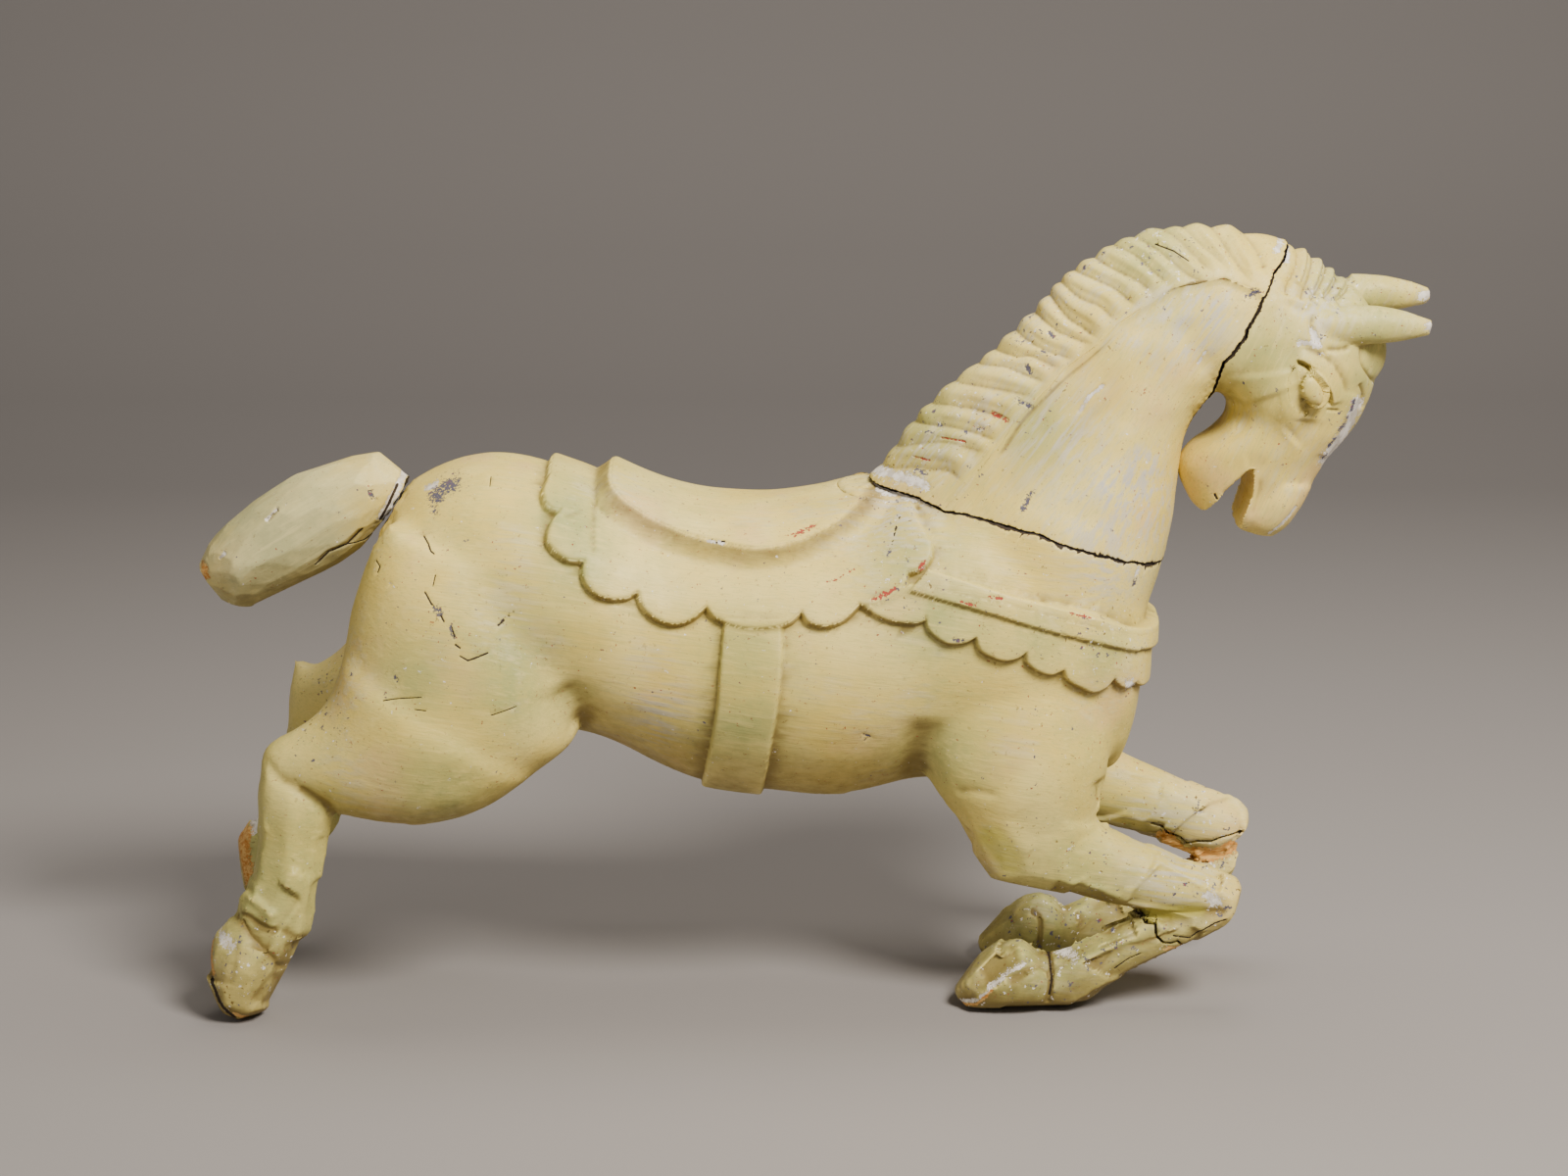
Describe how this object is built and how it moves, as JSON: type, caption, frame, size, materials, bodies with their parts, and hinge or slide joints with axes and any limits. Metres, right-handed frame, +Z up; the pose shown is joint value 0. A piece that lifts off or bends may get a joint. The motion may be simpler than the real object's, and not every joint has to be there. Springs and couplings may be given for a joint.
{
  "type": "carousel horse",
  "caption": "Carved and painted wooden carousel horse at a gallop, head tucked, with saddle, scalloped cloth, girth and breast collar, resting on its bent legs.",
  "frame": {"origin": "on the floor, under the middle of the object's bounding box", "axes": "+X towards the head, +Z up, the side shown in the picture faces -Y"},
  "size_m": [1.1203, 0.3026, 0.7212],
  "materials": {
    "cream_paint": "aged pale yellow paint over earlier coats, chipped and crazed",
    "grey_cream_paint": "aged greenish cream paint, chipped"
  },
  "bodies": {
    "root": {"body": "cream_paint", "neck": "cream_paint", "head": "cream_paint", "tail": "grey_cream_paint"}
  },
  "joints": []
}
